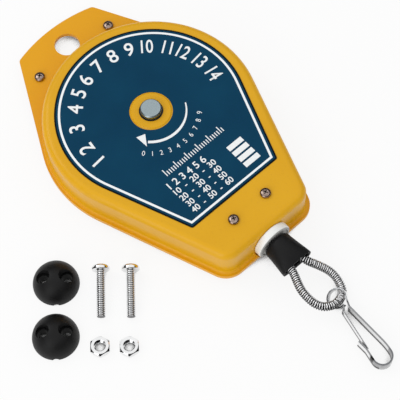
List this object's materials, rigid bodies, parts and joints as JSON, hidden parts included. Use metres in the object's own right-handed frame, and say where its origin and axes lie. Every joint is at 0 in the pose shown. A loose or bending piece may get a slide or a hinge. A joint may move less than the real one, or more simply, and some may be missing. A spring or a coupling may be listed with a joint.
{
  "type": "spring tool balancer",
  "caption": "Yellow spring tool balancer lying on its back: tapered steel casing, dark blue face label, hanging ear, rope guide, sheathed rope loop with snap hook, loose rope stop",
  "frame": {"origin": "on the spindle's axis, in the plane of the casing's back face, which lies on the floor", "axes": "+X from the hanging hole to the rope exit, +Z out of the labelled face, +Y completes a right-handed frame"},
  "size_m": [0.2653, 0.1862, 0.0284],
  "materials": {
    "yellow_paint": "semi-gloss powder coat",
    "blue_label": "satin printed film",
    "plated_steel": "zinc-plated, bright",
    "spring_steel": "oiled spring steel",
    "knob_steel": "brushed",
    "dark_ring": "self-lubricating bearing",
    "cast_drum": "die-cast",
    "white_nylon": "smooth",
    "black_rubber": "matt",
    "black_plastic": "satin",
    "rope_steel": "stranded",
    "chrome": "bright plated",
    "bearing_bronze": "sintered"
  },
  "bodies": {
    "casing": {"front_cover": "yellow_paint", "rear_cover": "yellow_paint", "front_label": "blue_label", "case_screws": "plated_steel", "ear_nuts": "plated_steel", "case_posts": "plated_steel", "front_bush": "dark_ring", "rear_bush": "bearing_bronze", "thrust_washer": "bearing_bronze", "rope_guide": "white_nylon", "click_post": "plated_steel", "click_spring": "spring_steel"},
    "tension_set": {"spindle": "spring_steel", "tension_knob": "knob_steel", "ratchet_wheel": "spring_steel", "spindle_clip": "spring_steel"},
    "drum": {"rope_drum": "cast_drum", "drum_bush": "bearing_bronze", "drum_lid": "plated_steel", "lid_rivets": "cast_drum", "rope_anchor": "rope_steel", "rope_wound": "rope_steel", "mainspring": "spring_steel"},
    "rope_end": {"rope_end_cap": "black_rubber", "crimp_sleeve": "cast_drum", "rope_loop": "rope_steel", "loop_sheath": "rope_steel", "rope_run": "rope_steel"},
    "hook": {"snap_hook": "chrome"},
    "gate": {"hook_gate": "chrome"},
    "stop_left": {"stop_half_left": "black_plastic"},
    "stop_right": {"stop_half_right": "black_plastic"},
    "loose_screws": {"stop_screws": "chrome"},
    "loose_nuts": {"stop_nuts": "chrome"}
  },
  "joints": [
    {"name": "drum_spin", "type": "hinge", "parent": "casing", "child": "drum", "pos_m": [0, 0, 0.0125], "axis": [0, 0, 1], "range_deg": [0, 1773.4], "stiffness_Nm_per_rad": 0.006, "springref_deg": -572.96, "deforming": ["mainspring"]},
    {"name": "rope_pull", "type": "slide", "parent": "casing", "child": "rope_end", "axis": [1, 0, 0], "range_m": [0, 1.3], "deforming": ["rope_run"]},
    {"name": "tension_adjust", "type": "hinge", "parent": "casing", "child": "tension_set", "pos_m": [0, 0, 0.0125], "axis": [0, 0, -1], "range_deg": [0, 1080], "deforming": ["mainspring", "click_spring"]},
    {"name": "hook_swing", "type": "hinge", "parent": "rope_end", "child": "hook", "pos_m": [0.1384, 0.0041, 0.0059], "axis": [0.2765, -0.7604, 0.5876], "range_deg": [-10, 120]},
    {"name": "gate_open", "type": "hinge", "parent": "hook", "child": "gate", "pos_m": [0.14281, 0.00185, 0.003], "axis": [0, 0, 1], "range_deg": [0, 12], "stiffness_Nm_per_rad": 0.05, "springref_deg": -5.73},
    {"name": "stop_left_lift", "type": "slide", "parent": "casing", "child": "stop_left", "axis": [0, 0, 1], "range_m": [0, 0.06]},
    {"name": "stop_right_lift", "type": "slide", "parent": "casing", "child": "stop_right", "axis": [0, 0, 1], "range_m": [0, 0.06]},
    {"name": "stop_screws_lift", "type": "slide", "parent": "casing", "child": "loose_screws", "axis": [0, 0, 1], "range_m": [0, 0.06]},
    {"name": "stop_nuts_lift", "type": "slide", "parent": "casing", "child": "loose_nuts", "axis": [0, 0, 1], "range_m": [0, 0.06]}
  ],
  "couplings": [
    {"joint": "rope_pull", "follows": "drum_spin", "m_per_rad": 0.042}
  ]
}
